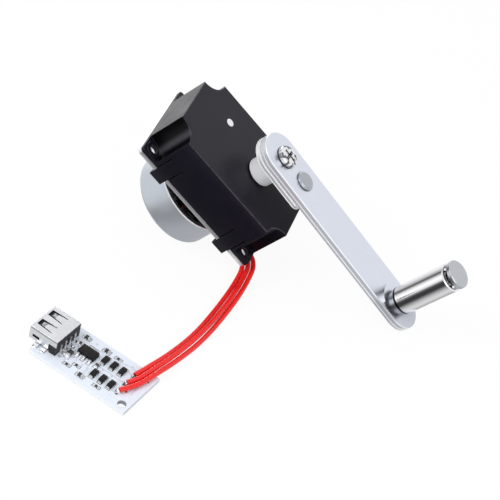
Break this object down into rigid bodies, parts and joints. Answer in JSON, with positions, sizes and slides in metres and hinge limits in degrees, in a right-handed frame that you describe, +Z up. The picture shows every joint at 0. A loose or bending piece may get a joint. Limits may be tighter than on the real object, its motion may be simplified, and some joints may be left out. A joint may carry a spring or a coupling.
{
  "type": "hand crank generator",
  "caption": "Small hand crank generator: gearbox with an outer rotor under its base plate, crank arm with a spinning handle, and a USB charging board on three wires.",
  "frame": {"origin": "middle of the footprint of machine and charging board, on the table", "axes": "+X the way the crank arm points down to the table, +Y away from the charging board towards the machine, +Z up"},
  "size_m": [0.1269, 0.115, 0.0549],
  "materials": {
    "black_nylon": "moulded dark grey plastic, satin",
    "plate_steel": "plated sheet steel",
    "cup_steel": "satin plated drawn steel",
    "bright_steel": "bright plated",
    "arm_steel": "satin plated flat bar",
    "chrome": "polished",
    "bronze": "sintered bronze",
    "white_acetal": "natural acetal",
    "gear_steel": "sintered steel",
    "magnet": "nickel plated magnet",
    "lamination": "stacked laminations",
    "copper": "enamelled copper wire",
    "aluminium": "turned",
    "sleeving": "shrink sleeving",
    "board_white": "white solder resist",
    "tin": "tin plated sheet",
    "black_plastic": "moulded",
    "gold": "gold flashed",
    "ceramic": "ceramic with tinned ends",
    "solder": "bright solder",
    "red_silicone": "soft insulation"
  },
  "bodies": {
    "generator": {"gearbox_housing": "black_nylon", "base_plate": "plate_steel", "idler_axle": "white_acetal", "output_bush": "bronze", "foot_bush": "bronze", "stator_holder": "aluminium", "rotor_bearings": "bright_steel", "bearing_spacer": "aluminium", "stator_core": "lamination", "stator_windings": "copper", "lead_sleeves": "sleeving", "holder_screws": "bright_steel", "circuit_board": "board_white", "usb_shell": "tin", "usb_insulator": "black_plastic", "usb_contacts": "gold", "regulator": "black_plastic", "rectifier_diodes": "black_plastic", "capacitors": "ceramic", "resistors": "ceramic", "solder_joints": "solder", "wire_1": "red_silicone", "wire_2": "red_silicone", "wire_3": "red_silicone"},
    "crank": {"output_gear": "gear_steel", "output_shaft": "gear_steel", "crank_hub": "bright_steel", "crank_bracket": "bright_steel", "crank_arm": "arm_steel", "crank_screw": "chrome", "crank_rivet": "bright_steel", "handle_pin": "bright_steel", "handle_washer": "black_plastic"},
    "handle": {"handle_sleeve": "chrome"},
    "idler": {"idler_wheel": "white_acetal", "idler_pinion": "gear_steel"},
    "rotor": {"rotor_cup": "cup_steel", "magnet_ring": "magnet", "rotor_shaft": "gear_steel", "rotor_pinion": "gear_steel"}
  },
  "joints": [
    {"name": "crank_spin", "type": "hinge", "parent": "generator", "child": "crank", "pos_m": [-0.0176, 0.0389, 0.03506], "axis": [0.5711, 0, 0.8209], "continuous": true},
    {"name": "idler_spin", "type": "hinge", "parent": "generator", "child": "idler", "pos_m": [-0.03914, 0.04546, 0.03738], "axis": [0.5711, 0, 0.8209], "continuous": true},
    {"name": "rotor_spin", "type": "hinge", "parent": "generator", "child": "rotor", "pos_m": [-0.04087, 0.0389, 0.01422], "axis": [0.5711, 0, 0.8209], "continuous": true},
    {"name": "handle_spin", "type": "hinge", "parent": "crank", "child": "handle", "pos_m": [0.05102, 0.03354, 0.01851], "axis": [0.5711, 0, 0.8209], "continuous": true}
  ],
  "couplings": [
    {"joint": "idler_spin", "follows": "crank_spin", "ratio": -4.1538},
    {"joint": "rotor_spin", "follows": "crank_spin", "ratio": 10.8}
  ]
}
